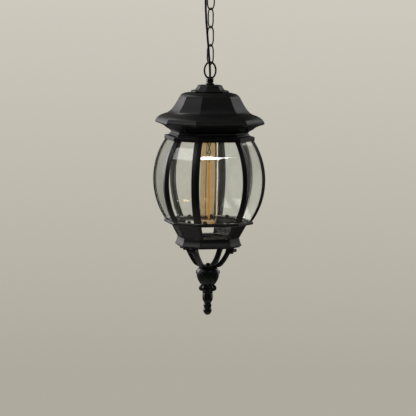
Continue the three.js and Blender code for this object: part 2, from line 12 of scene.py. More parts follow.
import bmesh
import bpy
import numpy as np
from mathutils import Matrix, Vector
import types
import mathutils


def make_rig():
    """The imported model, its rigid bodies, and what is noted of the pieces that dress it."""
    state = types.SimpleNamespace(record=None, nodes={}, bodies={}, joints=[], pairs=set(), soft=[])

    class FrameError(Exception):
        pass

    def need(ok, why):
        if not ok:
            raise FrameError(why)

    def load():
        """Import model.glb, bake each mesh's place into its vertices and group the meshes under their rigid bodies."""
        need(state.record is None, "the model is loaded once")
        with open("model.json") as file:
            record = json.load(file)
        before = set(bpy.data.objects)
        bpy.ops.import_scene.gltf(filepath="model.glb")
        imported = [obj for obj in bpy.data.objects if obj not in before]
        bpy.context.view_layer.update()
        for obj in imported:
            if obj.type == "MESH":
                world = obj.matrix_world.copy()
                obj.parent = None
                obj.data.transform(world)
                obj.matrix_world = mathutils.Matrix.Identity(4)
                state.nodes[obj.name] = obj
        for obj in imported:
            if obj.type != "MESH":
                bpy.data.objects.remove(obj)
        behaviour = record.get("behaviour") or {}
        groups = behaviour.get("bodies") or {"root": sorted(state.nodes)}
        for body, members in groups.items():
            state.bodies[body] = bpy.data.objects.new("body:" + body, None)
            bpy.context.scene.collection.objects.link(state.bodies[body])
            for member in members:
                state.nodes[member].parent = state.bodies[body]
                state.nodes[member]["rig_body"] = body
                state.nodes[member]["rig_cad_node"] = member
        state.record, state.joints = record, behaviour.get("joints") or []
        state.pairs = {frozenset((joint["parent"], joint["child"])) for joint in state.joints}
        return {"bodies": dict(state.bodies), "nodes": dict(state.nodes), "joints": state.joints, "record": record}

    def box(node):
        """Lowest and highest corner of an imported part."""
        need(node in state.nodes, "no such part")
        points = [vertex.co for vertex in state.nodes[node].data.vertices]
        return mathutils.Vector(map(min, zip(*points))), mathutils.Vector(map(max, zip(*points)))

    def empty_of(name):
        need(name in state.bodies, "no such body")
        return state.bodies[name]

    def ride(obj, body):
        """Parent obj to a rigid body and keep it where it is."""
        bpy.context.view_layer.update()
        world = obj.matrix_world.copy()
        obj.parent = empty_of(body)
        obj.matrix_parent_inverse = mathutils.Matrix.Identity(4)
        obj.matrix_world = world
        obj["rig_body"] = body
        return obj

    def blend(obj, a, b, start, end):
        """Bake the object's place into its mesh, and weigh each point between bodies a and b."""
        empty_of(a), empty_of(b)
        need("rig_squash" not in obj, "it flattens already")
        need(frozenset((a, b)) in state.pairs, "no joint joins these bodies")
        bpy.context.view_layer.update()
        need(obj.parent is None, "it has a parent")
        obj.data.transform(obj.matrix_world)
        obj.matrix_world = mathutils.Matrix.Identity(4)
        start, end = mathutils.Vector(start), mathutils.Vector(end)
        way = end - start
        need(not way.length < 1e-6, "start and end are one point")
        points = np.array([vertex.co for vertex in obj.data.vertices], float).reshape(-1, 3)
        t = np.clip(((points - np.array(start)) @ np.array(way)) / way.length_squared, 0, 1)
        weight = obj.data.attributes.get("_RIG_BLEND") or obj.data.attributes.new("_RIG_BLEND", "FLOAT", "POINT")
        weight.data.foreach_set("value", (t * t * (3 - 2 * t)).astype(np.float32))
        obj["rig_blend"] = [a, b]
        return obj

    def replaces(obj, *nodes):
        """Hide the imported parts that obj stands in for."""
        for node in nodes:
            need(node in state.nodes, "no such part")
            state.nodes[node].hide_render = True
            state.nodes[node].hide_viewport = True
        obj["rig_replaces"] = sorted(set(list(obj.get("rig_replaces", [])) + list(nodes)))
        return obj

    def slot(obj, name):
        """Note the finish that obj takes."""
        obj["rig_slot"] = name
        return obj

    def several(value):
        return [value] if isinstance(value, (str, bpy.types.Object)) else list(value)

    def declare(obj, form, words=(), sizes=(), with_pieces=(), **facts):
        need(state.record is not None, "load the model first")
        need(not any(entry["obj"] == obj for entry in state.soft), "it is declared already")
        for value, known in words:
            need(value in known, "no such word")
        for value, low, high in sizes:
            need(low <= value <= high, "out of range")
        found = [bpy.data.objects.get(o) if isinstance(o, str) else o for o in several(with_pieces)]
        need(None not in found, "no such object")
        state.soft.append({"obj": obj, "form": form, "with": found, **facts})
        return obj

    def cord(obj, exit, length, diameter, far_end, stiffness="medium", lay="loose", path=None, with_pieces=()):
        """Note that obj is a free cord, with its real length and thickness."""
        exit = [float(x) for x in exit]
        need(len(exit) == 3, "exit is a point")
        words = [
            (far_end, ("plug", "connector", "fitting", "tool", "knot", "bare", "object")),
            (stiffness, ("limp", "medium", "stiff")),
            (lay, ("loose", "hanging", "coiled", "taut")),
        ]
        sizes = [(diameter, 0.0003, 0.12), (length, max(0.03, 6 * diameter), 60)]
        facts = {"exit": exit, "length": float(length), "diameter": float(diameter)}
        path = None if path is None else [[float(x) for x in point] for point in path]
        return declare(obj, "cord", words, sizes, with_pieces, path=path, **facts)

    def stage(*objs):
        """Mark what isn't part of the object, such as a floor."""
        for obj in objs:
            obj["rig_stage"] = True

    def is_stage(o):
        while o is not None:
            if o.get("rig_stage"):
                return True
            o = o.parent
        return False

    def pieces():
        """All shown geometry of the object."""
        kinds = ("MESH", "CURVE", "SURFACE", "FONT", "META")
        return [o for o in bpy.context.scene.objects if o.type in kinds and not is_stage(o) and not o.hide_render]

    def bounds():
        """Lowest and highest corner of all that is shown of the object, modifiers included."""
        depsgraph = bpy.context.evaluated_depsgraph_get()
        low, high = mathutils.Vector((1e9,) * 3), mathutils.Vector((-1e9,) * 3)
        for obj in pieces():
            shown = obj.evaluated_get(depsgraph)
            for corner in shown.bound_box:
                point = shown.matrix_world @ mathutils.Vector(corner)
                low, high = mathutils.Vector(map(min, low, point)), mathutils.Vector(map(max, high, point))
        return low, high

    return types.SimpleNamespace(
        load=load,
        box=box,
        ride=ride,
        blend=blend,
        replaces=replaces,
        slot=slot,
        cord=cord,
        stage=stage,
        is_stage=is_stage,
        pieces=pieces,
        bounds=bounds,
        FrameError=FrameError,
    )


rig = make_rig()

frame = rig.load()
cad_low, cad_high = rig.bounds()
print("bodies:", ", ".join(frame["bodies"]))

# %% [markdown]
# Most heights are easiest to think of as heights above the finial's tip, in millimetres, because the
# lantern itself is 470 mm tall. The ceiling rose and the chain are measured down from the ceiling, which is
# z = 0.

# %% Units and the eight corners
MM = 0.001
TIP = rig.box("finial_drop")[0][2] / MM
WIDE_HALF = math.radians(27.4)  # half of what a wide facet spans round the axis
NARROW_HALF = math.radians(45) - WIDE_HALF
CORNERS = [math.radians(90 * k) + side * WIDE_HALF for k in range(4) for side in (-1, 1)]
WIDE_CENTRES = [math.radians(90 * k) for k in range(4)]
NARROW_CENTRES = [math.radians(90 * k + 45) for k in range(4)]
print("the finial's tip is", round(-TIP), "mm under the ceiling")


def place(radius, angle, height, base=TIP):
    """The point in metres at a radius, an angle and a height, all but the angle in millimetres."""
    return Vector((radius * math.cos(angle), radius * math.sin(angle), base + height)) * MM


# %% [markdown]
# ## The camera
# We look from the height of the ceiling rose, a good four metres away through a long lens, so the lantern's
# sides stay nearly parallel. One wide facet is turned about fourteen degrees to our right.

# %% Camera
VIEW_TURN = math.radians(-13.6)
VIEW_DISTANCE = 4.406
VIEW_HEIGHT = -0.008
VIEW_ROLL = math.radians(0.63)
VIEW_LENS = 207.5
AIM = Vector((-0.0011, 0.0001, (TIP + 199.4) * MM))


def looking(where):
    """The placing of a camera or a light at a point, turned to look at the aim."""
    return Matrix.Translation(where) @ (AIM - where).to_track_quat("-Z", "Y").to_matrix().to_4x4()


eye = Vector((math.sin(VIEW_TURN) * VIEW_DISTANCE, -math.cos(VIEW_TURN) * VIEW_DISTANCE, VIEW_HEIGHT))
camera = bpy.data.objects.new("camera", bpy.data.cameras.new("camera"))
camera.data.lens = VIEW_LENS
camera.matrix_world = looking(eye) @ Matrix.Rotation(VIEW_ROLL, 4, "Z")
bpy.context.scene.collection.objects.link(camera)
bpy.context.scene.camera = camera
bpy.context.scene.view_settings.view_transform = "Standard"

# %% [markdown]
# ## Making meshes
# Every piece is a mesh whose place is in its points, so its object stays at the origin. A helper makes it,
# merges doubled points, turns the faces outwards and marks which edges stay crisp.

# %% Mesh helpers
CRISP = math.radians(35)  # edges that turn by more than this stay crisp
WELD = 1e-6  # points nearer than this, in metres, are one point


def shade_faces(mesh):
    mesh.shade_smooth()
    mesh.set_sharp_from_angle(angle=CRISP)


def settle(piece):
    """Merges doubles, drops faces with no area, turns the faces outwards and shades them."""
    work = bmesh.new()
    work.from_mesh(piece.data)
    bmesh.ops.remove_doubles(work, verts=work.verts, dist=WELD)
    bmesh.ops.dissolve_degenerate(work, edges=work.edges, dist=WELD)
    bmesh.ops.recalc_face_normals(work, faces=work.faces)
    work.to_mesh(piece.data)
    work.free()
    shade_faces(piece.data)
    return piece


def new_piece(name, points, faces):
    mesh = bpy.data.meshes.new(name)
    mesh.from_pydata([tuple(p) for p in points], [], faces)
    piece = bpy.data.objects.new(name, mesh)
    bpy.context.scene.collection.objects.link(piece)
    return settle(piece)


def plain_mesh(piece):
    """Turns the piece's modifiers into plain mesh."""
    bpy.context.view_layer.update()
    mesh = bpy.data.meshes.new_from_object(piece.evaluated_get(bpy.context.evaluated_depsgraph_get()))
    piece.modifiers.clear()
    piece.data = mesh


def bake(piece):
    plain_mesh(piece)
    return settle(piece)


def rounded(piece, width, segments=3, angle=30):
    """Rounds the edges that turn by more than the angle, by a width in millimetres."""
    bevel = piece.modifiers.new("round", "BEVEL")
    bevel.width = width * MM
    bevel.segments = segments
    bevel.limit_method = "ANGLE"
    bevel.angle_limit = math.radians(angle)
    return bake(piece)


def joined(name, pieces):
    """One piece from several that keep their own shells."""
    work = bmesh.new()
    for piece in pieces:
        work.from_mesh(piece.data)
        bpy.data.objects.remove(piece)
    whole = new_piece(name, [], [])
    work.to_mesh(whole.data)
    work.free()
    shade_faces(whole.data)
    return whole


def cut_out(piece, cutter):
    cutting = piece.modifiers.new("cut", "BOOLEAN")
    cutting.operation = "DIFFERENCE"
    cutting.solver = "EXACT"
    cutting.object = cutter
    bake(piece)
    bpy.data.objects.remove(cutter)


def slab_faces(count):
    """The faces of a slab between two copies of a closed outline with so many points."""
    sides = [(i, (i + 1) % count, count + (i + 1) % count, count + i) for i in range(count)]
    return [tuple(range(count)), tuple(range(count, 2 * count)), *sides]


# %% [markdown]
# Curved outlines are Bezier stretches between a few chosen points. They are drawn as a radius and a height.

# %% Outlines
def bend(*points, steps=8):
    """Points along a Bezier curve through the first and last of 2 to 4 given points, without the last."""
    made = []
    for i in range(steps):
        t = i / steps
        level = [Vector(p) for p in points]
        while len(level) > 1:
            level = [a.lerp(b, t) for a, b in zip(level, level[1:])]
        made.append(tuple(level[0]))
    return made


def arc(centre, radius, start, end, steps=8):
    """Points of a round stretch from one angle to another, in degrees, without the last."""
    turns = [math.radians(start + (end - start) * i / steps) for i in range(steps)]
    return [(centre[0] + radius * math.cos(a), centre[1] + radius * math.sin(a)) for a in turns]


# %% [markdown]
# Two makers use an outline. `turned` spins it, for what is round. `cast` takes it round the eight uneven
# corners, for the roof, rings and skirt, whose facets are flat across and meet in ridges.

# %% Turned and cast pieces
def around(name, outline, angles, base=TIP, swell=None):
    count, ring = len(angles), len(outline)
    points = []
    for angle in angles:
        for i, (radius, height) in enumerate(outline):
            grown = radius if swell is None else radius * swell(angle, height)
            points.append(place(grown, angle, height, base))
    faces = []
    for i in range(count):
        for k in range(ring):
            a, b = i * ring + k, i * ring + (k + 1) % ring
            c, d = ((i + 1) % count) * ring + (k + 1) % ring, ((i + 1) % count) * ring + k
            faces.append((a, b, c, d))
    return new_piece(name, points, faces)


def turned(name, outline, sides, base=TIP, swell=None):
    return around(name, outline, [2 * math.pi * k / sides for k in range(sides)], base, swell)


def ribs(count, depth, low, high):
    """A swell for a turned piece: so many ribs round it, between two heights."""
    return lambda angle, height: 1 + depth * math.cos(count * angle) * (low < height < high)


def cast(name, outline, edge):
    return rounded(around(name, outline, CORNERS), edge)


def sweep(name, centres, radius, sides):
    """A round tube along points in metres, its ends closed by flat caps."""
    centres = [Vector(c) for c in centres]
    side = Vector((0, 1, 0))
    points, faces = [], []
    for i, centre in enumerate(centres):
        ahead = (centres[min(i + 1, len(centres) - 1)] - centres[max(i - 1, 0)]).normalized()
        side = (side - ahead * side.dot(ahead)).normalized()
        other = ahead.cross(side)
        for k in range(sides):
            turn = 2 * math.pi * k / sides
            points.append(centre + (side * math.cos(turn) + other * math.sin(turn)) * radius)
    for i in range(len(centres) - 1):
        for k in range(sides):
            a, b = i * sides + k, i * sides + (k + 1) % sides
            faces.append((a, b, b + sides, a + sides))
    last = (len(centres) - 1) * sides
    faces += [tuple(range(sides)), tuple(range(last, last + sides))]
    return new_piece(name, points, faces)


# %% [markdown]
# ## Finishes
# A finish is a small graph of shader nodes. Writing its sums as Python expressions keeps them readable: a
# `Value` wraps one socket, and adding or multiplying values adds the Math nodes. `Graph.node` makes any
# other node from its type, its settings and its sockets. The same class builds the Geometry Nodes trees
# further on.

# %% Graphs as expressions
class Value:
    def __init__(self, graph, socket):
        self.graph, self.socket = graph, socket

    def __add__(self, other):
        return self.graph.sums("ADD", self, other)

    def __sub__(self, other):
        return self.graph.sums("SUBTRACT", self, other)

    def __rsub__(self, other):
        return self.graph.sums("SUBTRACT", other, self)

    def __mul__(self, other):
        return self.graph.sums("MULTIPLY", self, other)

    __radd__ = __add__


class Graph:
    def __init__(self, tree):
        self.tree = tree

    def node(self, kind, settings=None, sockets=None, out=0):
        made = self.tree.nodes.new(kind)
        for name, setting in (settings or {}).items():
            if name == "stops":
                for stop, (position, colour) in zip(made.color_ramp.elements, setting):
                    stop.position, stop.color = position, colour
            else:
                setattr(made, name, setting)
        for name, given in (sockets or {}).items():
            if isinstance(given, Value):
                self.tree.links.new(given.socket, made.inputs[name])
            else:
                made.inputs[name].default_value = given
        return Value(self, made.outputs[out]) if len(made.outputs) else made

    def sums(self, operation, *given):
        return self.node("ShaderNodeMath", {"operation": operation}, dict(enumerate(given)))

    def axis(self, vector, letter):
        return self.node("ShaderNodeSeparateXYZ", sockets={"Vector": vector}, out=letter)

    def mix(self, factor, first, second):
        """A blend of two colours; a Mix node's colour sockets are its seventh and eighth."""
        return self.node("ShaderNodeMix", {"data_type": "RGBA"}, {0: factor, 6: first, 7: second}, out=2)


def grey(level):
    return (level, level, level, 1)


class Finish(Graph):
    """One material, whose shader is set by `shade`."""

    def __init__(self, name):
        self.material = bpy.data.materials.new(name)
        self.material.use_nodes = True
        super().__init__(self.material.node_tree)
        self.tree.nodes.clear()
        self.here = self.node("ShaderNodeTexCoord", out="Object")

    def noise(self, scale, detail=2.0, roughness=0.5):
        sockets = {"Vector": self.here, "Scale": scale, "Detail": detail, "Roughness": roughness}
        return self.node("ShaderNodeTexNoise", sockets=sockets)

    def ramp(self, factor, low, high, dark=0.0, light=1.0):
        """The factor's stretch from low to high as a grey from dark to light."""
        stops = [(low, grey(dark)), (high, grey(light))]
        return self.node("ShaderNodeValToRGB", {"stops": stops}, {"Fac": factor})

    def bump(self, height, distance, strength=1.0):
        sockets = {"Height": height, "Distance": distance * MM, "Strength": strength}
        return self.node("ShaderNodeBump", sockets=sockets)

    def shade(self, **sockets):
        named = {name.replace("_", " "): given for name, given in sockets.items()}
        shader = self.node("ShaderNodeBsdfPrincipled", sockets=named)
        self.node("ShaderNodeOutputMaterial", sockets={"Surface": shader})
        return self.material


# %% [markdown]
# ### Black paint on castings
# The castings are die-cast and powder coated. Powder coat is never a mirror: it has a fine orange-peel
# skin, it is a little thinner and shinier on sharp edges, and dust greys its upward faces. Sharp edges are
# also painted lighter, partly as wear of the coat and partly as a painted highlight where they catch the
# light. An `edge` attribute that we measure on each mesh says where the edges are, so both follow the real shape.

# %% Where a mesh has edges
FULL_EDGE = math.radians(40)  # an edge that turns by this much or more counts as 1


def mark_edges(piece):
    """Stores how sharply the surface turns at each point, from 0 to 1."""
    work = bmesh.new()
    work.from_mesh(piece.data)
    work.verts.ensure_lookup_table()
    sharp = np.zeros(len(work.verts))
    for edge in work.edges:
        if len(edge.link_faces) == 2 and edge.is_convex:
            turn = edge.calc_face_angle(0.0)
            for vert in edge.verts:
                sharp[vert.index] = max(sharp[vert.index], min(1.0, turn / FULL_EDGE))
    work.free()
    attribute = piece.data.attributes.get("edge") or piece.data.attributes.new("edge", "FLOAT", "POINT")
    attribute.data.foreach_set("value", sharp.astype(np.float32))


# %% Paint
# the lighter grey of sharp edges: worn coat, and partly a painted highlight of the light they catch
WORN_EDGE_SHEEN, DUST = (0.16, 0.155, 0.145, 1), (0.10, 0.095, 0.085, 1)


def paint(name, body, skin, rough, peel=0.05, wear_and_sheen=0.10):
    finish = Finish(name)
    edge = finish.node("ShaderNodeAttribute", {"attribute_name": "edge"}, out="Fac")
    upward = finish.axis(finish.node("ShaderNodeNewGeometry", out="Normal"), "Z")
    cloud = finish.noise(26, 4, 0.6)
    grain = finish.noise(650, 2, 0.5)
    edge_wear_and_sheen = finish.ramp(finish.noise(70, 3, 0.6), 0.45, 0.62)
    dusty = finish.ramp(upward * 0.5 + cloud * 0.35, 0.5, 0.85, 0, 0.35)
    colour = finish.mix(cloud, body, skin)
    # sharp edges mixed towards a lighter grey: partly wear, partly a painted highlight where edges catch the light
    colour = finish.mix(edge * edge_wear_and_sheen * wear_and_sheen, colour, WORN_EDGE_SHEEN)
    colour = finish.mix(dusty * finish.ramp(grain, 0.4, 0.65), colour, DUST)
    roughness = rough + (cloud - 0.5) * 0.16 + dusty * 0.3 - edge * 0.08
    skin_bump = finish.bump(grain * 0.7 + finish.noise(1900, 1, 0.5) * 0.3, peel, 0.55)
    return finish.shade(Base_Color=colour, Roughness=roughness, Normal=skin_bump, Specular_IOR_Level=0.5,
                        Coat_Weight=0.12, Coat_Roughness=0.25)


COAT = paint("black_powder_coat", (0.0105, 0.0105, 0.0115, 1), (0.0165, 0.016, 0.0155, 1), 0.40)
STEEL = paint("black_steel_lacquer", (0.007, 0.007, 0.008, 1), (0.012, 0.0115, 0.011, 1), 0.34, 0.03, 0.16)
print("paints:", COAT.name, STEEL.name)


# %% [markdown]
# ### Flex, bare metal, moulded plastic
# The flex has a matt sheath with a faint fine grain. The nipples, the nut and the lamp's contact are zinc
# plated, with small crystals in the plate. The lamp's cap is brass, dulled in stains. The holder and
# terminal block are mouldings.

# %% Other opaque finishes
def sheath():
    finish = Finish("matt_black_sheath")
    fine = finish.noise(900, 2, 0.5)
    smudge = finish.noise(60, 3, 0.6)
    colour = finish.mix(smudge, (0.008, 0.008, 0.0085, 1), (0.016, 0.0155, 0.015, 1))
    return finish.shade(Base_Color=colour, Roughness=0.5 + smudge * 0.15, Normal=finish.bump(fine, 0.02, 0.5))


def bare_metal(name, bright, dull, rough, grain=220):
    finish = Finish(name)
    flake = finish.node("ShaderNodeTexVoronoi", sockets={"Vector": finish.here, "Scale": grain * 2.0})
    stain = finish.noise(55, 4, 0.65)
    colour = finish.mix(finish.ramp(stain, 0.35, 0.7), bright, dull)
    return finish.shade(Base_Color=colour, Metallic=1.0, Roughness=rough + flake * 0.12 + stain * 0.1,
                        Normal=finish.bump(finish.noise(grain * 4, 2), 0.01, 0.4))


def moulding(name, light, dark, rough):
    finish = Finish(name)
    cloud = finish.noise(45, 3, 0.55)
    texture = finish.noise(1500, 2, 0.5)
    return finish.shade(Base_Color=finish.mix(cloud, light, dark), Roughness=rough + cloud * 0.12,
                        Normal=finish.bump(texture, 0.02, 0.5))


SHEATH = sheath()
ZINC = bare_metal("bright_zinc", (0.62, 0.63, 0.62, 1), (0.42, 0.43, 0.42, 1), 0.24)
BRASS = bare_metal("rolled_brass", (0.74, 0.60, 0.33, 1), (0.45, 0.34, 0.17, 1), 0.22, 300)
WIRE = bare_metal("dark_lead_wire", (0.20, 0.17, 0.14, 1), (0.08, 0.07, 0.06, 1), 0.4, 500)
HOLDER = moulding("black_phenolic", (0.014, 0.013, 0.012, 1), (0.024, 0.022, 0.02, 1), 0.42)
NYLON = moulding("pale_nylon", (0.80, 0.78, 0.71, 1), (0.70, 0.67, 0.59, 1), 0.45)
print("opaque finishes:", SHEATH.name, ZINC.name, BRASS.name, WIRE.name, HOLDER.name, NYLON.name)


# %% [markdown]
# ### Glass
# The bowed panels are clear sheet glass with the faint green of window glass, smeared in patches. The
# lamp's envelope is tinted amber. The filament is a strip of phosphor that is orange even when it is off;
# a faint emission paints a glow on it, though the lamp is unlit.

# %% Glass and filament
def pane_glass():
    finish = Finish("clear_bowed_glass")
    smear = finish.noise(38, 4, 0.65)
    marks = finish.ramp(smear, 0.5, 0.78)
    return finish.shade(Base_Color=finish.mix(marks, (0.95, 0.97, 0.955, 1), (0.87, 0.895, 0.875, 1)),
                        Roughness=marks * 0.06 + 0.012, IOR=1.5, Transmission_Weight=1.0,
                        Normal=finish.bump(smear, 0.10, 0.1))


def amber_glass():
    finish = Finish("amber_envelope")
    smear = finish.noise(60, 3, 0.6)
    return finish.shade(Base_Color=finish.mix(smear, (0.90, 0.76, 0.57, 1), (0.86, 0.71, 0.50, 1)),
                        Roughness=0.01 + smear * 0.03, IOR=1.45, Transmission_Weight=1.0)


def phosphor():
    finish = Finish("orange_phosphor")
    beads = finish.node("ShaderNodeTexWave", {"wave_type": "BANDS", "bands_direction": "Z"},
                        {"Vector": finish.here, "Scale": 110, "Distortion": 1.5, "Detail": 1}, out="Fac")
    colour = finish.mix(finish.ramp(beads, 0.2, 0.8), (0.62, 0.27, 0.010, 1), (0.80, 0.40, 0.02, 1))
    # the emission is a painted glow: the lamp is unlit, so this filament would not shine
    return finish.shade(Base_Color=colour, Roughness=0.5 + beads * 0.1, Emission_Color=colour,
                        Emission_Strength=0.55, Normal=finish.bump(beads, 0.15, 0.6))


PANE = pane_glass()
AMBER = amber_glass()
PHOSPHOR = phosphor()
print("clear finishes:", PANE.name, AMBER.name, PHOSPHOR.name)


# %% [markdown]
# A finished piece gets its material and its edge marks, rides on a body, names the slot it takes its finish
# from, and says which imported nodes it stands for.

# %% Handing a piece over
def weigh_normals(piece):
    """Lets the large faces rule the shading, so a flat facet or a pane stays flat up to its bevel."""
    weigh = piece.modifiers.new("weigh", "WEIGHTED_NORMAL")
    weigh.keep_sharp, weigh.weight = True, 80
    plain_mesh(piece)


def finished(piece, material, body, slot, *nodes):
    """Hands a piece over."""
    mark_edges(piece)
    weigh_normals(piece)
    piece.data.materials.clear()
    piece.data.materials.append(material)
    piece.data.polygons.foreach_set("material_index", [0] * len(piece.data.polygons))
    if body is not None:
        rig.ride(piece, body)
    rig.slot(piece, slot)
    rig.replaces(piece, *nodes)
    print(f"{piece.name}: {len(piece.data.polygons)} faces on {body}")


def keep(node, material):
    """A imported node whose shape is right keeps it, and takes a better material."""
    for slot in frame["nodes"][node].material_slots:
        slot.material = material


# %% [markdown]
# ## The flex
# A thin round flex runs from the terminal block, down the loop's bore, beside the chain and into the
# lantern's loop. It bends wherever the chain bends. So it is made as one smooth line of chosen points and
# cut half way down each link; each length then turns from one body to the next across the pivot that it
# passes.

# %% Flex route
FLEX_ROUTE = [
    (0, 16.6, -10.5), (0, 13.5, -10.2), (0, 7.5, -9.4), (0, 1.8, -12.2), (0, 0, -18), (0, 0, -26),
    (0, 0, -36), (0, 0, -44), (-2.2, -1, -53), (-5.8, -3, -62), (-9.5, -4.6, -70),
    (-10.7, -5, -77), (-11, -5, -86.5),
    (-10.9, -5.1, -95), (-10.8, -5.5, -103), (-10.4, -6.1, -111), (-10.1, -6.6, -120),
    (-9.7, -7.2, -128), (-9, -7.8, -136.5), (-8.3, -8.3, -145), (-7.6, -8.4, -153.5),
    (-6.7, -8, -162), (-5.7, -7.1, -170), (-4.7, -6.1, -178), (-3.8, -5.3, -187),
    (-3, -4.9, -194), (-2.3, -4.6, -201.5), (-1.2, -2.9, -210), (-0.4, -1, -218),
    (0, 0, -226), (0, 0, -236), (0, 0, -248), (0, 0, -260), (0, 0, -271),
]
FLEX_CUTS = [0, 12, 16, 20, 24, 33]
FLEX_DIAMETER = 4.0
CHAIN = ["canopy", "link_1", "link_2", "link_3", "link_4", "lantern"]
PIVOTS = [joint["pos_m"][2] for joint in frame["joints"] if joint["name"].endswith("_swing")]


def smooth_line(points, steps):
    """A Catmull-Rom line through the points, with `steps` pieces between neighbours."""
    known = [Vector(p) * MM for p in points]
    ends = [2 * known[0] - known[1], *known, 2 * known[-1] - known[-2]]
    line = []
    for a, b, c, d in zip(ends, ends[1:], ends[2:], ends[3:]):
        for i in range(steps):
            t = i / steps
            line.append(0.5 * (2 * b + (c - a) * t + (2 * a - 5 * b + 4 * c - d) * t * t
                               + (3 * b - 3 * c + d - a) * t ** 3))
    return [*line, known[-1]]


FLEX_STEPS = 6
flex_line = smooth_line(FLEX_ROUTE, FLEX_STEPS)
BLEND_REACH = 0.013  # how far above and below a pivot the flex bends
for k in range(len(PIVOTS)):
    route = flex_line[FLEX_CUTS[k] * FLEX_STEPS:FLEX_CUTS[k + 1] * FLEX_STEPS + 1]
    length = sum((b - a).length for a, b in zip(route, route[1:]))
    flex = sweep(f"flex_length_{k + 1}", route, FLEX_DIAMETER / 2 * MM, 20)
    finished(flex, SHEATH, None, "black_flex", f"flex_{k + 1}")
    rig.cord(flex, exit=route[0], length=length, diameter=FLEX_DIAMETER * MM, far_end="object",
            stiffness="medium", lay="hanging", path=route)
    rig.blend(flex, CHAIN[k], CHAIN[k + 1],
             start=(0, 0, PIVOTS[k] + BLEND_REACH), end=(0, 0, PIVOTS[k] - BLEND_REACH))
    print(f"flex_length_{k + 1} is {length / MM:.0f} mm")

# %% [markdown]
# ## Studio
# The backdrop is a warm grey that surrounds the scene and darkens a little downwards. Black satin metal
# shows its shape only by what it reflects, so most light comes from one large soft panel at the left and
# behind; a narrow strip in front draws the bright streak across the bowed glass. What the metal reflects
# elsewhere is much darker than the backdrop.

# %% Backdrop, floor and lights
BACKDROP_LOW, BACKDROP_HIGH = (0.430, 0.402, 0.342, 1), (0.610, 0.584, 0.512, 1)
CLIMB_START, CLIMB_END = -0.17, -0.018  # how steeply we look down where the backdrop is darkest and lightest
ROOM_COLOUR, ROOM_STRENGTH = (0.30, 0.29, 0.265, 1), 0.10
studio = bpy.data.worlds.new("studio")
studio.use_nodes = True
bpy.context.scene.world = studio
air = Graph(studio.node_tree)
air.tree.nodes.clear()
seen = air.node("ShaderNodeLightPath", out="Is Camera Ray")
through = air.node("ShaderNodeLightPath", out="Is Transmission Ray")
steepness = air.axis(air.node("ShaderNodeTexCoord", out="Generated"), "Z")
climb = air.node("ShaderNodeMapRange", {"clamp": True}, {0: steepness, 1: CLIMB_START, 2: CLIMB_END})
backdrop = air.node("ShaderNodeBackground", sockets={
    "Color": air.mix(climb, BACKDROP_LOW, BACKDROP_HIGH), "Strength": 1.0})
room = air.node("ShaderNodeBackground", sockets={"Color": ROOM_COLOUR, "Strength": ROOM_STRENGTH})
picked = air.node("ShaderNodeMixShader", sockets={0: seen + through, 1: room, 2: backdrop})
air.node("ShaderNodeOutputWorld", sockets={"Surface": picked})

FLOOR_LEVEL, FLOOR_RADIUS, FLOOR_SIDES = -2.7 / MM, 2.65 / MM, 64
floor_edge = [place(FLOOR_RADIUS, 2 * math.pi * k / FLOOR_SIDES, FLOOR_LEVEL, 0) for k in range(FLOOR_SIDES)]
floor = new_piece("studio_floor", floor_edge, [tuple(range(FLOOR_SIDES))])
plaster = Finish("pale_floor")
speck = plaster.noise(9, 4, 0.6)
plaster_colour = plaster.mix(speck, (0.84, 0.81, 0.75, 1), (0.78, 0.75, 0.69, 1))
floor.data.materials.append(plaster.shade(Base_Color=plaster_colour, Roughness=0.75 + speck * 0.1))
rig.stage(floor)


def soft_light(name, azimuth, elevation, distance, width, height, power):
    """A rectangular light; its azimuth is counted rightwards from the camera's, in degrees."""
    turn = VIEW_TURN + math.radians(azimuth)
    rise = math.radians(elevation)
    outwards = Vector((math.sin(turn) * math.cos(rise), -math.cos(turn) * math.cos(rise), math.sin(rise)))
    lamp = bpy.data.lights.new(name, "AREA")
    lamp.shape = "RECTANGLE"
    lamp.size, lamp.size_y, lamp.energy = width, height, power
    light = bpy.data.objects.new(name, lamp)
    light.matrix_world = looking(AIM + distance * outwards)
    light.visible_camera = False
    bpy.context.scene.collection.objects.link(light)


soft_light("left_panel", -126, 22, 2.8, 1.7, 2.6, 58)
soft_light("right_panel", 142, 10, 3.4, 1.8, 2.6, 20)
soft_light("left_fill", -62, 33.5, 3.0, 1.0, 0.8, 6)
soft_light("overhead_panel", -20, 74, 2.6, 1.4, 1.4, 5)
soft_light("front_strip", 28.4, 31.5, 4.0, 0.085, 0.32, 2.4)
soft_light("front_strip_tail", 29.35, 31.5, 4.0, 0.06, 0.12, 0.4)

# %% [markdown]
# ## Geometry Nodes
# A `Recipe` is a Geometry Nodes tree with named sizes. We set a size by its socket's identifier before the
# first evaluation, then keep only the plain mesh. Two recipes do most of the repeating: a bent-wire ring
# for the chain, and one that repeats a shape round the lantern's axis for screws, clips, arms and the
# finial's ornaments.

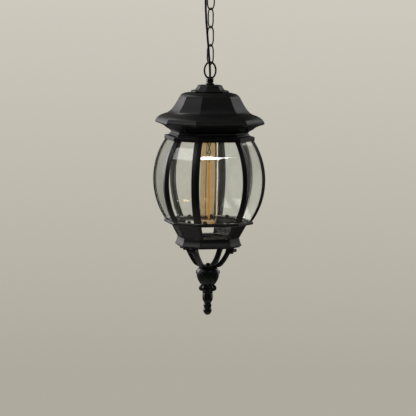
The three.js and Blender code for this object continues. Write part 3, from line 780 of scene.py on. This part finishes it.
# %% Recipes
class Recipe(Graph):
    def __init__(self, name, takes_shape=False, **sizes):
        super().__init__(bpy.data.node_groups.new(name, "GeometryNodeTree"))
        face = self.tree.interface
        if takes_shape:
            face.new_socket("Shape", in_out="INPUT", socket_type="NodeSocketGeometry")
        self.identifiers = {}
        for size, kind in sizes.items():
            socket = face.new_socket(size, in_out="INPUT", socket_type=f"NodeSocket{kind}")
            self.identifiers[size] = socket.identifier
        face.new_socket("Geometry", in_out="OUTPUT", socket_type="NodeSocketGeometry")
        self.given = self.tree.nodes.new("NodeGroupInput")

    def size(self, name):
        return Value(self, self.given.outputs[name])

    def circle(self, points, radius):
        sizes = {"Resolution": points, "Radius": radius}
        return self.node("GeometryNodeCurvePrimitiveCircle", {"mode": "RADIUS"}, sizes)

    def ends_in(self, geometry, material):
        real = self.node("GeometryNodeRealizeInstances", sockets={"Geometry": geometry})
        coated = self.node("GeometryNodeSetMaterial", sockets={"Geometry": real, "Material": material})
        self.node("NodeGroupOutput", sockets={"Geometry": coated})
        return self

    def apply(self, piece, **values):
        modifier = piece.modifiers.new(self.tree.name, "NODES")
        modifier.node_group = self.tree
        for size, value in values.items():
            modifier[self.identifiers[size]] = value
        return bake(piece)


# %% [markdown]
# A chain link is a wire bent into an oval: two half ellipses and two straight sides, butted together at the
# middle of one side, where `Joint` says how much thinner the wire is. A circle of points is squashed and
# pulled apart to give the path, and a round wire follows it.

# %% Bent-wire ring
SNAP_STEP, JOINT_REACH = 0.0001, 0.0002


def wire_ring():
    recipe = Recipe("bent_wire_ring", Width="Float", Height="Float", Wire="Float", Straight="Float",
                    Turn="Float", Middle="Float", Joint="Float")
    wire, straight = recipe.size("Wire"), recipe.size("Straight")
    across = (recipe.size("Width") - wire) * 0.5
    along = (recipe.size("Height") - wire - straight) * 0.5
    spot = recipe.node("GeometryNodeInputPosition")
    x, y, z = (recipe.axis(spot, letter) for letter in "XYZ")
    side = recipe.sums("SIGN", recipe.sums("SNAP", y, SNAP_STEP))
    lifted = y * along + side * straight * 0.5
    moved = recipe.node("ShaderNodeCombineXYZ", sockets={"X": x * across, "Z": lifted})
    path = recipe.node("GeometryNodeSetPosition", sockets={
        "Geometry": recipe.circle(64, 1.0), "Position": moved})
    path = recipe.node("GeometryNodeSubdivideCurve", sockets={"Curve": path, "Cuts": 3})
    middle = recipe.sums("COMPARE", z, 0.0, JOINT_REACH)
    thick = 1 - middle * recipe.sums("GREATER_THAN", x, 0.0) * recipe.size("Joint")
    path = recipe.node("GeometryNodeSetCurveRadius", sockets={"Curve": path, "Radius": thick})
    tube = recipe.node("GeometryNodeCurveToMesh", sockets={
        "Curve": path, "Profile Curve": recipe.circle(20, wire * 0.5), "Scale": thick})
    turn = recipe.node("ShaderNodeCombineXYZ", sockets={"Z": recipe.size("Turn")})
    shift = recipe.node("ShaderNodeCombineXYZ", sockets={"Z": recipe.size("Middle")})
    placed = recipe.node("GeometryNodeTransform", sockets={
        "Geometry": tube, "Translation": shift, "Rotation": turn})
    return recipe.ends_in(placed, STEEL)


WIRE_RING = wire_ring()


def bent_ring(name, width, height, wire, straight, turn, middle, joint):
    return WIRE_RING.apply(new_piece(name, [], []), Width=width * MM, Height=height * MM, Wire=wire * MM,
                           Straight=straight * MM, Turn=math.radians(turn), Middle=middle * MM, Joint=joint)


LINK_WIRE, LINK_WIDTH, LINK_STRAIGHT, LINK_JOINT = 2.6, 18, 11, 0.14
LINK_TURNS = [23, -68, 34, -59]
for k, turn in enumerate(LINK_TURNS):
    low, high = (corner[2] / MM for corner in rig.box(f"chain_link_{k + 1}"))
    link = bent_ring(f"bent_link_{k + 1}", LINK_WIDTH, high - low, LINK_WIRE, LINK_STRAIGHT, turn,
                     (high + low) / 2, LINK_JOINT)
    finished(link, STEEL, f"link_{k + 1}", "black_steel", f"chain_link_{k + 1}")

# %% [markdown]
# The repeating recipe puts copies of the piece's own mesh round the axis, a whole number to the turn.

# %% Repeating round the axis
def repeater():
    recipe = Recipe("repeat_round_the_axis", True, Count="Int", Start="Float")
    count = recipe.size("Count")
    points = recipe.node("GeometryNodePoints", sockets={"Count": count})
    index = recipe.node("GeometryNodeInputIndex")
    share = recipe.sums("DIVIDE", index, count)
    turn = recipe.node("ShaderNodeCombineXYZ", sockets={"Z": share * (2 * math.pi) + recipe.size("Start")})
    copies = recipe.node("GeometryNodeInstanceOnPoints", sockets={
        "Points": points, "Instance": recipe.size("Shape"), "Rotation": turn})
    return recipe.ends_in(copies, COAT)


REPEAT = repeater()


def repeated(piece, count, start):
    return REPEAT.apply(piece, Count=count, Start=start)


# %% [markdown]
# ## Ceiling rose
# A spun steel cup hides the bracket and the terminal block. Its rim is rolled over a wire, so it ends in a
# bead, and its bell narrows to a flat crown for the loop. A lathe outline gives it in one go, wall and all.

# %% Rose
CROWN = -30.0
rose = turned("ceiling_rose", [
    (52.9, -0.3), (54.4, -0.4), *arc((53.6, -2.0), 1.4, 70, -80, 7), (53.6, -4.0),
    *bend((53.3, -4.4), (52.2, -16.5), (29, -16.3), (15.6, -28.9)), *arc((14.2, -28.5), 1.5, -20, -90, 4),
    (13.6, CROWN), (5, CROWN), (5, CROWN + 1.5), (13.2, CROWN + 1.5),
    *bend((14.0, -28.0), (28.2, -15), (50.3, -14.8), (51.8, -4.2)), (52.0, -1.2),
], 96, base=0)
finished(rose, COAT, "canopy", "black_paint", "canopy_shell")

for side, node in ((-1, "canopy_screw_left"), (1, "canopy_screw_right")):
    low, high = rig.box(node)
    across = (low[0] + high[0]) / 2
    screw = turned(f"rose_screw_{'left' if side < 0 else 'right'}", [
        (0, -1), (2, -1), (2, -24.2), (3.6, -24.2), (4.5, -24.9), (4.6, -26.4), (4.6, -28.1),
        *bend((4.4, -28.7), (3.8, -31.4), (0.9, -31.8)), (0.8, -31.1), (0, -31.1),
    ], 32, base=0, swell=ribs(20, 0.03, -28.2, -24.8))
    screw.data.transform(Matrix.Translation((across, 0, 0)))
    finished(screw, STEEL, "canopy", "black_steel", node)

# %% [markdown]
# ## Loops
# Each end of the chain hangs on a cast loop: a round foot, a fluted boss that the threaded nipple screws
# into, and a ring. The lantern's points up from the roof cap and the ceiling rose's is the same casting
# upside down.

# %% Both loops
ROD, RING_WIDTH, RING_HEIGHT, REACH = 3.4, 24.2, 33.4, 43.8
FLUTES_START, FLUTES_END = 4.6, 13.0


def loop(name, base, up, turn, body, node):
    boss = turned(name + "_boss", [(r, up * h) for r, h in [
        (2.6, 0.3), (8.0, 0.3), (8.3, 0.6), (8.3, 2.2), *arc((7.5, 2.4), 0.8, 0, 80, 4), (5.9, 3.6),
        (5.5, 4.4), *bend((5.7, 4.8), (6.5, 5.6), (6.6, 7.0)), (6.6, 9.6),
        *bend((6.6, 10.2), (6.5, 12.0), (5.2, 13.0)), (4.6, 14.0), (4.2, 15.2), (2.6, 15.4),
    ]], 80, base=base, swell=ribs(10, 0.045, *sorted((up * FLUTES_START, up * FLUTES_END))))
    middle = base + up * (REACH - RING_HEIGHT / 2)
    ring = bent_ring(name + "_ring", RING_WIDTH, RING_HEIGHT, ROD, 0.0, turn, middle, 0.0)
    ring.data.materials.clear()
    finished(joined(name, [boss, ring]), STEEL, body, "black_steel", node)


CAP_TOP = 426.6
LANTERN_LOOP_TURN, ROSE_LOOP_TURN = -13.6, -67
loop("lantern_top_loop", TIP + CAP_TOP, 1, LANTERN_LOOP_TURN, "lantern", "lantern_loop")
loop("rose_loop", CROWN, -1, ROSE_LOOP_TURN, "canopy", "canopy_loop")

# %% [markdown]
# The nipples, the lock nut, the bracket and the terminal block are out of sight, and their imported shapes
# are right. They only get a real finish.

# %% Hidden fittings keep their shapes
for node in ("canopy_nipple", "canopy_lock_nut", "lamp_nipple"):
    keep(node, ZINC)
keep("ceiling_bracket", STEEL)
keep("terminal_block", NYLON)

# %% [markdown]
# ## Roof
# The roof is one casting with a soft concave rise, a flared brim and an undercut rim. It carries a stepped
# cap. Both are outlines taken round the eight corners; a small bevel on the ridges catches the light as
# paint does.

# %% Cap and roof
cap = cast("roof_cap_casting", [
    (5.4, 413.6), (35.4, 413.6), (36, 414.2), (36, 416.2), (35.3, 417), (29.6, 417),
    *bend((29.2, 417.4), (27.6, 418.4), (24.4, 423.4)), (23.4, 424.8), (23.2, 425.9),
    (22.6, CAP_TOP), (5.4, CAP_TOP),
], 0.5)
finished(cap, COAT, "lantern", "black_paint", "roof_cap")

roof = cast("roof_casting", [
    (5.4, 413.3), *bend((36, 413.3), (52.5, 413), (57, 405.2), steps=6),
    *bend((57, 405.2), (64, 393), (69.5, 381), (80.8, 374.4), steps=12),
    *bend((80.8, 374.4), (100.5, 369.5), (103.8, 359.2), steps=10), (103.8, 359.2), (103.6, 357.4),
    (103.0, 356.7), (100.0, 355.5), *bend((100, 355.5), (88, 352.5), (82.3, 346.5), steps=6),
    *bend((82.3, 346.5), (75.5, 343.5), (73.5, 341), steps=4), (73.5, 341), (73.6, 339.6), (74.4, 338.4),
    (77.2, 335.4), (77.2, 334.6), (76.6, 334), (70.5, 333.8), (70.5, 344),
    *bend((70.5, 344), (79, 349), (84, 354), steps=3), (84, 354), (99, 359.5),
    *bend((99, 359.5), (96, 366), (79, 371.5), steps=4),
    *bend((79, 371.5), (66.5, 379), (60.5, 392), (53.5, 404)),
    *bend((53.5, 404), (50, 410), (36, 410.3), steps=3), (36, 410.3), (5.4, 410.3),
], 0.7)
finished(roof, COAT, "lantern", "black_paint", "roof_shell")

SCREW_RADIUS, SCREW_LEVEL, SCREW_TILT = 80.6, 348, math.radians(32)
soffit_screws = turned("soffit_screws", [
    (0, 5.8), (1.5, 5.8), (1.5, -1.3), (3.6, -1.3), (3.6, -2.4),
    *bend((3.5, -2.6), (3.0, -3.7), (0.8, -3.9), steps=5), (0.7, -3.0), (0, -3.0),
], 28, base=0)
soffit_screws.data.transform(Matrix.Translation((SCREW_RADIUS * MM, 0, (TIP + SCREW_LEVEL) * MM))
                             @ Matrix.Rotation(-SCREW_TILT, 4, "Y"))
repeated(soffit_screws, 4, math.radians(45))
finished(soffit_screws, STEEL, "lantern", "black_steel", *[f"roof_screw_{k}" for k in range(1, 5)])

# %% [markdown]
# ## Cage
# Two cast rings hold eight bowed bars and the glass between them. Every bar is a rolled strip folded down
# its middle to sit over a corner, so a fine ridge runs down it. It bows on the same round arc as the glass.

# %% Rings and bars
BOW_RADIUS, BOW_MIDDLE, BOW_WIDEST, BOW_LOW, BOW_HIGH = 131.5, 252.8, 105.5, 178.3, 328.6


def bow(height):
    return BOW_WIDEST - BOW_RADIUS + math.sqrt(BOW_RADIUS ** 2 - (height - BOW_MIDDLE) ** 2)


top_ring = cast("upper_ring", [
    (68, 333.6), (68, 326.0), (84.2, 326.0), *arc((84.6, 327.2), 1.1, -90, 0, 4), (85.7, 327.6),
    (85.7, 332.0), *arc((84.6, 332.4), 1.1, 0, 90, 4), (84.2, 333.6),
], 0.5)
finished(top_ring, COAT, "lantern", "black_paint", "cage_top_ring")
bottom_ring = cast("lower_ring", [
    (64, 178), (64, 173.0), (73.6, 172.2), *bend((75, 171.9), (82, 171.0), (84.4, 172.2), steps=5),
    (85, 173.2), *bend((85, 173.6), (85.2, 176.8), (82.6, 178), steps=5),
], 0.5)

WIDE_CLIP_RADIUS, NARROW_CLIP_RADIUS, CLIP_SPREAD, CLIP_HALF_THICK = 60.6, 66.4, 21.5, 0.9
clip_outline = [(-4.0, 176.5), (-4.0, 179.6), (-3.2, 181.0), (-1.6, 181.9), (0, 182.2),
                (1.6, 181.9), (3.2, 181.0), (4.0, 179.6), (4.0, 176.5)]


def clip(name, across, middle_radius):
    points = [Vector((middle_radius + depth, across + y, TIP + z)) * MM
              for depth in (-CLIP_HALF_THICK, CLIP_HALF_THICK) for y, z in clip_outline]
    return new_piece(name, points, slab_faces(len(clip_outline)))


clip_pair = [clip("clip", side * CLIP_SPREAD, WIDE_CLIP_RADIUS) for side in (-1, 1)]
wide_clips = repeated(joined("wide_clips", clip_pair), 4, 0.0)
narrow_clips = repeated(clip("narrow_clips", 0, NARROW_CLIP_RADIUS), 4, math.radians(45))
lower = joined("lower_ring_with_clips", [bottom_ring, wide_clips, narrow_clips])
finished(lower, COAT, "lantern", "black_paint", "cage_bottom_ring")


def bowed_sheet(name, rows, shares, spot):
    """A sheet on the bow. `spot` gives a point from its height, its share across and its face, 0 or 1."""
    width, sheet = len(shares), (rows + 1) * len(shares)
    heights = [BOW_LOW + (BOW_HIGH - BOW_LOW) * i / rows for i in range(rows + 1)]
    points = [spot(height, share, face) for face in (0, 1) for height in heights for share in shares]
    faces = []
    for face in (0, 1):
        for i in range(rows):
            for a in range(face * sheet + i * width, face * sheet + (i + 1) * width - 1):
                faces.append((a, a + 1, a + width + 1, a + width))
    for i in range(rows):
        for a in (i * width, (i + 1) * width - 1):
            faces.append((a, a + width, sheet + a + width, sheet + a))
    for i in (0, rows):
        faces += [(a, a + 1, sheet + a + 1, sheet + a) for a in range(i * width, (i + 1) * width - 1)]
    return new_piece(name, points, faces)


BAR_HALF, BAR_THICK, BAR_FALL, BAR_ROWS = 7.5, 1.7, 2.6, 44
RIDGE_HALF, RIDGE_FLAT, RIDGE_RISE = 0.1, 0.05, 0.35  # two shares of the bar's half width, and millimetres
BAR_SHARES = (-1, -0.75, -0.5, -0.25, -0.09, 0, 0.09, 0.25, 0.5, 0.75, 1)


def bar_spot(corner):
    def spot(height, share, face):
        fall = max(abs(share), RIDGE_FLAT) * BAR_FALL
        ridge = RIDGE_RISE * face if abs(share) < RIDGE_HALF else 0
        out = bow(height) - fall - BAR_THICK / 2 + face * BAR_THICK + ridge
        across = share * BAR_HALF
        return place(math.hypot(out, across), corner + math.atan2(across, out), height)
    return spot


for k, corner in enumerate(CORNERS):
    bar = rounded(bowed_sheet(f"bowed_bar_{k + 1}", BAR_ROWS, BAR_SHARES, bar_spot(corner)), 0.35, 2, 50)
    finished(bar, COAT, "lantern", "black_paint", f"cage_bar_{k + 1}")

# %% [markdown]
# ## Bowed glass
# Each panel is one sheet bent over a mould, flat across and round up and down. Four are wide and four
# narrow. Fine rows keep the reflections smooth, and the ground edges are slightly rounded.

# %% Glass
PANE_THICK, PANE_BEHIND, PANE_INSET, PANE_ROWS = 3.0, 2.3, 2.2, 56


def pane(name, half_angle, centre, node):
    def spot(height, side, face):
        corner = bow(height) - PANE_BEHIND
        out = corner * math.cos(half_angle) + (face - 0.5) * PANE_THICK
        half = (corner - PANE_THICK) * math.sin(half_angle) - PANE_INSET
        return place(math.hypot(out, half), centre + side * math.atan2(half, out), height)

    glass = rounded(bowed_sheet(name, PANE_ROWS, (-1, 1), spot), 0.4, 2, 50)
    finished(glass, PANE, "lantern", "clear_glass", node)


for k in range(4):
    pane(f"wide_panel_{k + 1}", WIDE_HALF, WIDE_CENTRES[k], f"glass_wide_{k + 1}")
    pane(f"narrow_panel_{k + 1}", NARROW_HALF, NARROW_CENTRES[k], f"glass_narrow_{k + 1}")

# %% [markdown]
# ## Basket, skirt and base plate
# Below the lower ring a pierced basket narrows to a floor, with one window in each wide facet. The windows
# are cut with wedges that widen upwards as the facet does. The skirt flares out under it, and a plate
# closes it.

# %% Basket
BASKET_TOP, BASKET_FLOOR, BASKET_WALL = (73.2, 171.9), (59, 146.2), 2.6
POST, FLOOR_RAIL, TOP_RAIL = 5.5, 0.9, 1.4
WEDGE_INSIDE, WEDGE_OUTSIDE = 30, 90
basket = around("pierced_basket", [
    BASKET_TOP, BASKET_FLOOR, (BASKET_FLOOR[0] - BASKET_WALL, BASKET_FLOOR[1]),
    (BASKET_TOP[0] - BASKET_WALL, BASKET_TOP[1]),
], CORNERS)
for k in range(4):
    wedge = []
    for share, height in ((0, BASKET_FLOOR[1] + FLOOR_RAIL), (1, BASKET_TOP[1] - TOP_RAIL)):
        corner = BASKET_FLOOR[0] + share * (BASKET_TOP[0] - BASKET_FLOOR[0])
        half = corner * math.sin(WIDE_HALF) - POST
        for out, side in ((WEDGE_INSIDE, -1), (WEDGE_OUTSIDE, -1), (WEDGE_OUTSIDE, 1), (WEDGE_INSIDE, 1)):
            wedge.append(place(math.hypot(out, half), WIDE_CENTRES[k] + side * math.atan2(half, out), height))
    cut_out(basket, new_piece("window_wedge", wedge, slab_faces(4)))
rounded(basket, 0.5, 2)
finished(basket, COAT, "lantern", "black_paint", "basket")

skirt = cast("flared_skirt", [
    (12, 145.9), (58.2, 145.9), (59, 145.3), *bend((59.2, 144.8), (60.2, 138), (63.4, 133.4), steps=5),
    (63.6, 132.4), (63.2, 131.6), (61.5, 131.1), (58, 131.0), (60.0, 132.6), (56.4, 143), (12, 143),
], 0.5)
finished(skirt, COAT, "lantern", "black_paint", "skirt")
plate_outline = [(20, 130.8), (60.0, 130.8), (60.5, 130.4), (59.8, 128.8), (20, 128.8)]
base_plate = cast("closing_plate", plate_outline, 0.25)
finished(base_plate, COAT, "lantern", "black_paint", "base_plate")

# %% [markdown]
# ## Arms and hub
# Four curved arms leave the plate's narrow facets and meet in a hub above the finial. One arm is an outline
# made as thick as the casting, wider at its foot; the repeating recipe gives the other three.

# %% Spider
FOOT_TOP, FOOT_LOW = 127, 121
ARM_HALF, FOOT_WIDENING, WIDENING_START, WIDENING_LENGTH = 4.3, 2.6, 42, 15
arm_outline = [
    (57, FOOT_TOP), (57.6, FOOT_TOP - 0.9), (57.5, FOOT_LOW + 1.2), (56.6, FOOT_LOW + 0.2), (46.5, FOOT_LOW),
    *bend((46.5, FOOT_LOW), (43, 113), (36, 101), (28, 93.6), steps=12)[1:],
    *bend((28, 93.6), (24, 90.4), (14, 88.6), steps=5), (14, 88.6), (9, 88.5), (9, 92.8),
    *bend((10, 92.8), (19, 94.8), (22.5, 98.5), steps=4),
    *bend((22.5, 98.5), (30, 105), (37, 115.5), (39.5, 121.5), steps=10), (39.6, 122.6), (41.2, FOOT_TOP),
]
points = []
for side in (-1, 1):
    for radius, height in arm_outline:
        half = ARM_HALF + FOOT_WIDENING * max(0.0, (radius - WIDENING_START) / WIDENING_LENGTH)
        points.append(Vector((radius, side * half, TIP + height)) * MM)
arms = rounded(new_piece("four_arms", points, slab_faces(len(arm_outline))), 1.3, 3, 40)
repeated(arms, 4, math.radians(45))
hub = turned("arm_hub", [
    (2.3, 88.4), (15.6, 88.4), *arc((15.9, 89.6), 1.1, -90, 0, 4), (17, 89.8), (17, 91.0),
    *arc((15.4, 91.2), 1.6, 0, 90, 5), (13.5, 93), (6.4, 93.2), (5.8, 94.2), (2.3, 94.2),
], 64)
spider = joined("arms_and_hub", [arms, hub])
finished(spider, COAT, "lantern", "black_paint", "spider")

# %% [markdown]
# Hexagon screws hold the arms' feet to the plate, and one round-headed screw comes up through the finial
# and hub.

# %% Screws under the plate
FOOT_SCREW_RADIUS = 50
shank = turned("foot_screw_shank", [
    (0, 132.6), (1.7, 132.6), (2, 132.1), (2, 128.7), (5.2, 128.7), (5.6, 126.9), (2, 126.9), (2, 121),
    (5.0, 121), (5.0, 120.5), (2, 120.5), (2, 120.3), (0, 120.3),
], 32)
head_outline = [(0, 120.7), (4.4, 120.7), (4.4, 118.4), (3.9, 117.9), (0, 117.9)]
head = rounded(turned("hexagon_head", head_outline, 6), 0.25, 2)
foot_screws = joined("foot_screws", [shank, head])
foot_screws.data.transform(Matrix.Translation((FOOT_SCREW_RADIUS * MM, 0, 0)))
repeated(foot_screws, 4, math.radians(45))
finished(foot_screws, STEEL, "lantern", "black_steel", *[f"foot_screw_{k}" for k in range(1, 5)])

hub_screw = turned("finial_screw", [
    (0, 64), (2, 64), (2, 95.0), (3.6, 95.0), (3.9, 95.4), (3.9, 96.2),
    *bend((3.7, 96.5), (2.8, 97.2), (0.9, 97.3), steps=5), (0.8, 96.6), (0, 96.6),
], 32)
finished(hub_screw, STEEL, "lantern", "black_steel", "hub_screw")

# %% [markdown]
# ## Finial
# The finial is cast in two parts. The urn has a ring of round bosses, each with a sunk middle, and rests on
# a ring of scrolled lobes. Under it hangs a fluted drop that ends in a bead and a ball of petals.

# %% Urn
ORNAMENTS = 6
ORNAMENT_START = math.radians(-73.6)
BOSS_RADIUS, BOSS_LEVEL, BOSS_TILT = 20.9, 80.4, math.radians(86)
urn = turned("urn_body", [
    (0, 62), (2.3, 62), (2.3, 88.1), (15.5, 88.1), (17.4, 87.6), (18.9, 86.2), (20.1, 84.0), (20.8, 81.2),
    (21.0, 78), (20.9, 75.2), (20.4, 72.4), (19.6, 69.6), (18.6, 66.8), (17.4, 64.2), (16.2, 62.0),
    (14.9, 60.0), (13.5, 58.4), (12.4, 57.4), (11.6, 56.2), (11.2, 54), (10.6, 50), (10.0, 46.5),
    (9.4, 43.9), (0, 43.9),
], 96)
boss = turned("urn_bosses", [
    (0, -2.0), (3.3, -2.0), (3.3, 0.2), *arc((2.4, 0.3), 0.9, 0, 180, 7), (1.4, 0.0), (1.2, -1.0), (0, -1.0),
], 28, base=0)
boss.data.transform(Matrix.Translation((BOSS_RADIUS * MM, 0, (TIP + BOSS_LEVEL) * MM))
                    @ Matrix.Rotation(BOSS_TILT, 4, "Y"))
repeated(boss, ORNAMENTS, ORNAMENT_START)


def blob(name, middle, size):
    """A rounded lobe, squashed to the three half sizes in millimetres."""
    outline = [(math.sin(math.pi * k / 14), math.cos(math.pi * k / 14)) for k in range(15)]
    piece = turned(name, outline, 20, base=0)
    piece.data.transform(Matrix.Translation(Vector(middle) * MM) @ Matrix.Diagonal((*size, 1)))
    return piece


lobe = blob("scroll_lobes", (10.6, 0, TIP + 50.6), (5.7, 5.1, 6.2))
eye_ring = turned("scroll_eyes", arc((2.6, 0), 0.8, 0, 360, 8), 24, base=0)
eye_ring.data.transform(Matrix.Translation((15.4 * MM, 0, (TIP + 50.0) * MM))
                        @ Matrix.Rotation(math.radians(90), 4, "Y"))
scrolls = repeated(joined("scrolls", [lobe, eye_ring]), ORNAMENTS, ORNAMENT_START)
finished(joined("finial_urn_casting", [urn, boss, scrolls]), COAT, "lantern", "black_paint", "finial_urn")

# %% Drop
def petals(angle, height):
    turn = angle - ORNAMENT_START
    if height < 14:
        return 1 + 0.085 * (abs(math.cos(3 * turn)) - 0.6)
    return 1 + 0.05 * math.cos(6 * turn) * (24 < height < 43)


drop = turned("finial_drop_casting", [
    (0, 43.6), (8.4, 43.6), (9.6, 43.0), (9.7, 42.2), (8.8, 41.2), (8.9, 39.6), (9.2, 37.5), (9.3, 34.5),
    (9.2, 31.5), (8.9, 29), (8.2, 27), (7.2, 25.2), (6.4, 23.6), (6.3, 22.4), (6.8, 20.9), (7.4, 19.4),
    (7.6, 17.8), (7.3, 16.2), (6.7, 14.9), (6.5, 13.8), (6.6, 12.6), (7.3, 11.2), (7.7, 9.6), (7.6, 7.8),
    (7.1, 5.9), (6.2, 4.0), (4.9, 2.2), (3.2, 0.8), (1.4, 0.15), (0, 0),
], 72, swell=petals)
finished(drop, COAT, "lantern", "black_paint", "finial_drop")

# %% [markdown]
# ## Lamp
# A long tubular lamp hangs in the middle: an amber envelope, a glass mount with two crossed wires, and one
# straight filament with a long lead beside it. Its brass cap has a rolled thread, a wave that climbs one
# pitch for each turn. It screws into a phenolic holder.

# %% Lamp
PITCH = 25.4 / 7


def rolled_thread(angle, height):
    wave = math.cos(angle - 2 * math.pi * height / PITCH)
    return 1 + 0.035 * wave * (366 < height < 381)


thread_wall = [(13.1, 363 + 0.45 * k) for k in range(46)]
bulb_cap = turned("lamp_cap", [
    (12.2, 361), (13.3, 361), *thread_wall, (12.6, 384.6), (10.4, 387.4), (5, 388.5), (3.8, 388.5),
    (3.8, 387.5), (5, 387.5), (10, 386.2), (11.9, 384.0), (12.1, 380),
], 72, swell=rolled_thread)
finished(bulb_cap, BRASS, "bulb", "cap_metal", "bulb_cap")
contact_outline = [(0, 386.5), (3.4, 386.5), (3.4, 388.4), (3.0, 389.4), (1.8, 390.6), (0, 390.8)]
contact = turned("lamp_contact", contact_outline, 32)
finished(contact, ZINC, "bulb_thread", "zinc_steel", "bulb_contact")

LAMP_TIP, LAMP_TOP, LAMP_RADIUS, LAMP_WALL, NECK_RADIUS = 166, 363, 16, 1.0, 11.9


def envelope(radius, neck):
    """One face of the glass, from its round tip up past its shoulder into the cap."""
    tip_middle, shoulder = LAMP_TIP + LAMP_RADIUS, LAMP_TOP - 22
    side = [(radius, tip_middle + (shoulder - tip_middle) * k / 12) for k in range(12)]
    taper = bend((radius, shoulder), (radius, shoulder + 9), (neck, LAMP_TOP - 9), (neck, LAMP_TOP), steps=10)
    return [*arc((0, tip_middle), radius, -90, 0, 13), *side, *taper, (neck, LAMP_TOP), (neck, LAMP_TOP + 8)]


outer_wall = envelope(LAMP_RADIUS, NECK_RADIUS)
inner_wall = envelope(LAMP_RADIUS - LAMP_WALL, NECK_RADIUS - LAMP_WALL)
glass = turned("amber_envelope", outer_wall + inner_wall[::-1], 72)
finished(glass, AMBER, "bulb", "amber_glass", "bulb_glass")

mount = turned("lamp_mount", [
    (0, 362), (9.6, 362), (9.6, 361), (6.4, 356), (5, 352), (3.9, 345), (3.4, 340), (3.4, 322),
    (3.0, 319), (0, 318),
], 32)
finished(mount, AMBER, "bulb", "amber_glass", "bulb_stem")

to_the_right = Vector((math.cos(VIEW_TURN), math.sin(VIEW_TURN), 0))


def beside(reach, height, behind=0.0):
    """A place in the lamp: so far to our right of its axis, at a height."""
    return to_the_right * reach + Vector((0, behind, height))


def straight_wire(name, start, end, radius):
    spots = [start + (end - start) * k / 6 + Vector((0, 0, TIP)) for k in range(7)]
    return sweep(name, [spot * MM for spot in spots], radius * MM, 10)


wires = []
for side in (-1, 1):
    low_end, high_end = beside(-side * 3.2, 299.5, side * 0.3), beside(side * 3.2, 320.5, side * 0.3)
    wires.append(straight_wire("support_wire", low_end, high_end, 0.95))
wires.append(straight_wire("cross_bar", beside(-3.4, 300), beside(3.4, 300), 0.75))
wires.append(straight_wire("lead", beside(0, 282), beside(0, 300), 0.7))
wires.append(straight_wire("long_lead", beside(-6.3, 186), beside(-4.4, 326), 0.7))
wires.append(straight_wire("lead_foot", beside(-6.3, 186), beside(0, 181), 0.7))
finished(joined("support_wires", wires), WIRE, "bulb", "zinc_steel", "bulb_stem")

FILAMENT_FOOT, FILAMENT_LENGTH, FILAMENT_WOBBLE = 180, 103.8, 0.25
strand = [(FILAMENT_WOBBLE * math.sin(k * 1.9), FILAMENT_WOBBLE * math.cos(k * 2.3),
           FILAMENT_FOOT + FILAMENT_LENGTH * k / 40) for k in range(41)]
filament = sweep("filament_strip", [(Vector(p) + Vector((0, 0, TIP))) * MM for p in strand], 1.75 * MM, 16)
finished(filament, PHOSPHOR, "bulb", "filament", "bulb_filament")

holder = turned("lamp_holder_moulding", [
    (4.8, 393), (4.8, 402), (10.4, 402), (11, 401.4), (13, 398),
    *bend((13.4, 397.2), (17, 395), (19.5, 394), steps=4), (20.6, 391.5), (21, 388), (21, 366), (20.2, 365.2),
    (20.2, 363.8), (21, 363), (21, 360.6), (20.4, 360), (18, 360), (16.4, 361.5), (15, 364), (15, 392.6),
], 72, swell=ribs(36, 0.008, 368, 386))
finished(holder, HOLDER, "lantern", "holder_plastic", "lamp_holder")

# %% [markdown]
# ## Last step
# The imported size is written beside the finished one, so they can be compared.

# %% Sizes
new_low, new_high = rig.bounds()
sizes = {"cad": [list(cad_low), list(cad_high)], "visual": [list(new_low), list(new_high)]}
with open("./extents.json", "w") as out:
    json.dump({name: [[float(v) for v in corner] for corner in box] for name, box in sizes.items()}, out)
for axis, name in enumerate("xyz"):
    cad_side, new_side = cad_high[axis] - cad_low[axis], new_high[axis] - new_low[axis]
    print(f"{name}: {cad_side / MM:.1f} mm packed, {new_side / MM:.1f} mm finished")
